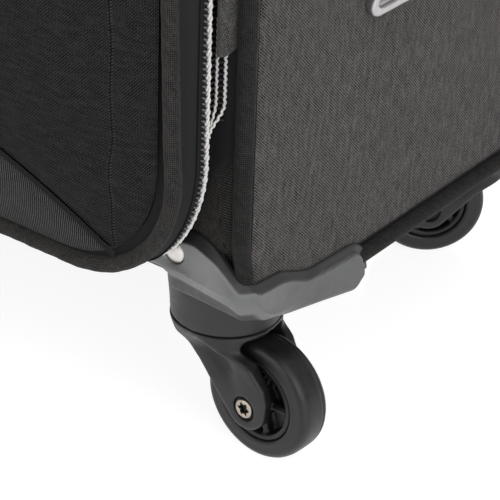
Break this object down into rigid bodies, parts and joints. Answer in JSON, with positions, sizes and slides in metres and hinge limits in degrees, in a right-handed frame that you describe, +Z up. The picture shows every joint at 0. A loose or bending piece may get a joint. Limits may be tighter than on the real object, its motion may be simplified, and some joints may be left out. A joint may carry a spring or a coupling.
{
  "type": "softside spinner suitcase",
  "caption": "Upright softside suitcase with a zipped front lid, swivel casters in moulded corner housings, a telescopic trolley handle and carry handles.",
  "frame": {"origin": "on the floor, under the middle of the whole case", "axes": "+X to the right of the case seen from its front, -Y out of the front lid, +Z up"},
  "size_m": [0.4648, 0.2963, 0.671],
  "materials": {
    "side_fabric": "woven heather",
    "dark_fabric": "fine twill",
    "piping_fabric": "heather-covered cord",
    "front_fabric": "woven heather",
    "lining": "plain weave",
    "zip_coil": "silver coil",
    "slider_metal": "plated",
    "housing_plastic": "fine grain",
    "caster_plastic": "satin",
    "tyre": "satin",
    "screw_metal": "zinc plated",
    "tube_aluminium": "anodised",
    "grip_plastic": "soft touch",
    "handle_fabric": "padded webbing",
    "anchor_chrome": "dark chrome"
  },
  "bodies": {
    "case": {"back_panel": "side_fabric", "right_panel": "side_fabric", "left_panel": "side_fabric", "top_panel": "side_fabric", "bottom_panel": "dark_fabric", "front_border": "dark_fabric", "front_piping": "piping_fabric", "back_piping": "piping_fabric", "expansion_zip": "zip_coil", "corner_housing_front_right": "housing_plastic", "corner_housing_front_left": "housing_plastic", "corner_housing_back_right": "housing_plastic", "corner_housing_back_left": "housing_plastic", "swivel_pin_front_right": "screw_metal", "swivel_pin_front_left": "screw_metal", "swivel_pin_back_right": "screw_metal", "swivel_pin_back_left": "screw_metal", "trolley_bezel": "caster_plastic", "trolley_outer_tube_right": "tube_aluminium", "trolley_outer_tube_left": "tube_aluminium", "top_handle_anchor_right": "anchor_chrome", "top_handle_anchor_left": "anchor_chrome", "side_handle_anchor_lower": "anchor_chrome", "side_handle_anchor_upper": "anchor_chrome"},
    "front_frame": {"expansion_frame": "lining", "main_zip_base": "zip_coil"},
    "lid": {"lid_panel": "dark_fabric", "lid_piping": "piping_fabric", "lid_gusset": "lining", "main_zip_lid": "zip_coil", "front_pocket": "front_fabric"},
    "main_slider_a": {"main_slider_a": "slider_metal"},
    "main_puller_a": {"main_puller_a": "slider_metal"},
    "main_slider_b": {"main_slider_b": "slider_metal"},
    "main_puller_b": {"main_puller_b": "slider_metal"},
    "expansion_slider": {"expansion_slider": "slider_metal"},
    "pocket_slider": {"pocket_slider": "slider_metal"},
    "pocket_puller": {"pocket_puller": "slider_metal"},
    "trolley": {"trolley_inner_tube_right": "tube_aluminium", "trolley_inner_tube_left": "tube_aluminium", "trolley_grip": "grip_plastic"},
    "trolley_button": {"trolley_button": "housing_plastic"},
    "top_handle": {"top_handle": "handle_fabric"},
    "side_handle": {"side_handle": "handle_fabric"},
    "caster_front_right": {"fork_front_right": "caster_plastic", "axle_screw_front_right": "screw_metal"},
    "wheel_front_right": {"tyre_front_right": "tyre", "hub_front_right": "caster_plastic"},
    "caster_front_left": {"fork_front_left": "caster_plastic", "axle_screw_front_left": "screw_metal"},
    "wheel_front_left": {"tyre_front_left": "tyre", "hub_front_left": "caster_plastic"},
    "caster_back_right": {"fork_back_right": "caster_plastic", "axle_screw_back_right": "screw_metal"},
    "wheel_back_right": {"tyre_back_right": "tyre", "hub_back_right": "caster_plastic"},
    "caster_back_left": {"fork_back_left": "caster_plastic", "axle_screw_back_left": "screw_metal"},
    "wheel_back_left": {"tyre_back_left": "tyre", "hub_back_left": "caster_plastic"}
  },
  "joints": [
    {"name": "expansion_hinge", "type": "hinge", "parent": "case", "child": "front_frame", "pos_m": [-0.004, -0.1123, 0.088], "axis": [1, 0, 0], "range_deg": [0, 4]},
    {"name": "lid_hinge", "type": "hinge", "parent": "front_frame", "child": "lid", "pos_m": [-0.217, -0.1135, 0.35], "axis": [0, 0, 1], "range_deg": [-175, 0]},
    {"name": "main_slider_a_slide", "type": "slide", "parent": "front_frame", "child": "main_slider_a", "axis": [0, 0, -1], "range_m": [0, 0.2]},
    {"name": "main_slider_b_slide", "type": "slide", "parent": "front_frame", "child": "main_slider_b", "axis": [0, 0, 1], "range_m": [0, 0.12]},
    {"name": "main_puller_a_hinge", "type": "hinge", "parent": "main_slider_a", "child": "main_puller_a", "pos_m": [0.2046, -0.1184, 0.4], "axis": [0, -1, 0], "range_deg": [0, 110]},
    {"name": "main_puller_b_hinge", "type": "hinge", "parent": "main_slider_b", "child": "main_puller_b", "pos_m": [0.2046, -0.1184, 0.436], "axis": [0, -1, 0], "range_deg": [0, 110]},
    {"name": "expansion_slider_slide", "type": "slide", "parent": "case", "child": "expansion_slider", "axis": [0, 0, 1], "range_m": [0, 0.34]},
    {"name": "pocket_slider_slide", "type": "slide", "parent": "lid", "child": "pocket_slider", "axis": [-1, 0, 0], "range_m": [0, 0.25]},
    {"name": "pocket_puller_hinge", "type": "hinge", "parent": "pocket_slider", "child": "pocket_puller", "pos_m": [0.128, -0.14745, 0.56], "axis": [-1, 0, 0], "range_deg": [0, 110]},
    {"name": "trolley_slide", "type": "slide", "parent": "case", "child": "trolley", "axis": [0, 0, 1], "range_m": [0, 0.4]},
    {"name": "trolley_button_press", "type": "slide", "parent": "trolley", "child": "trolley_button", "axis": [0, 0, -1], "range_m": [0, 0.003], "stiffness_N_per_m": 300},
    {"name": "top_handle_lift", "type": "slide", "parent": "case", "child": "top_handle", "axis": [0, 0, 1], "range_m": [0, 0.01]},
    {"name": "side_handle_pull", "type": "slide", "parent": "case", "child": "side_handle", "axis": [1, 0, 0], "range_m": [0, 0.01]},
    {"name": "caster_front_right_swivel", "type": "hinge", "parent": "case", "child": "caster_front_right", "pos_m": [0.1767, -0.0757, 0.0545], "axis": [0, 0, 1], "continuous": true},
    {"name": "wheel_front_right_spin", "type": "hinge", "parent": "caster_front_right", "child": "wheel_front_right", "pos_m": [0.19886, -0.07706, 0.025], "axis": [0.061, 0.9981, 0], "continuous": true},
    {"name": "caster_front_left_swivel", "type": "hinge", "parent": "case", "child": "caster_front_left", "pos_m": [-0.1847, -0.0757, 0.0545], "axis": [0, 0, 1], "continuous": true},
    {"name": "wheel_front_left_spin", "type": "hinge", "parent": "caster_front_left", "child": "wheel_front_left", "pos_m": [-0.20686, -0.07706, 0.025], "axis": [0.061, -0.9981, 0], "continuous": true},
    {"name": "caster_back_right_swivel", "type": "hinge", "parent": "case", "child": "caster_back_right", "pos_m": [0.1767, 0.1087, 0.0545], "axis": [0, 0, 1], "continuous": true},
    {"name": "wheel_back_right_spin", "type": "hinge", "parent": "caster_back_right", "child": "wheel_back_right", "pos_m": [0.15888, 0.09546, 0.025], "axis": [0.5962, -0.8028, 0], "continuous": true},
    {"name": "caster_back_left_swivel", "type": "hinge", "parent": "case", "child": "caster_back_left", "pos_m": [-0.1847, 0.1087, 0.0545], "axis": [0, 0, 1], "continuous": true},
    {"name": "wheel_back_left_spin", "type": "hinge", "parent": "caster_back_left", "child": "wheel_back_left", "pos_m": [-0.16688, 0.09546, 0.025], "axis": [0.5962, 0.8028, 0], "continuous": true}
  ]
}
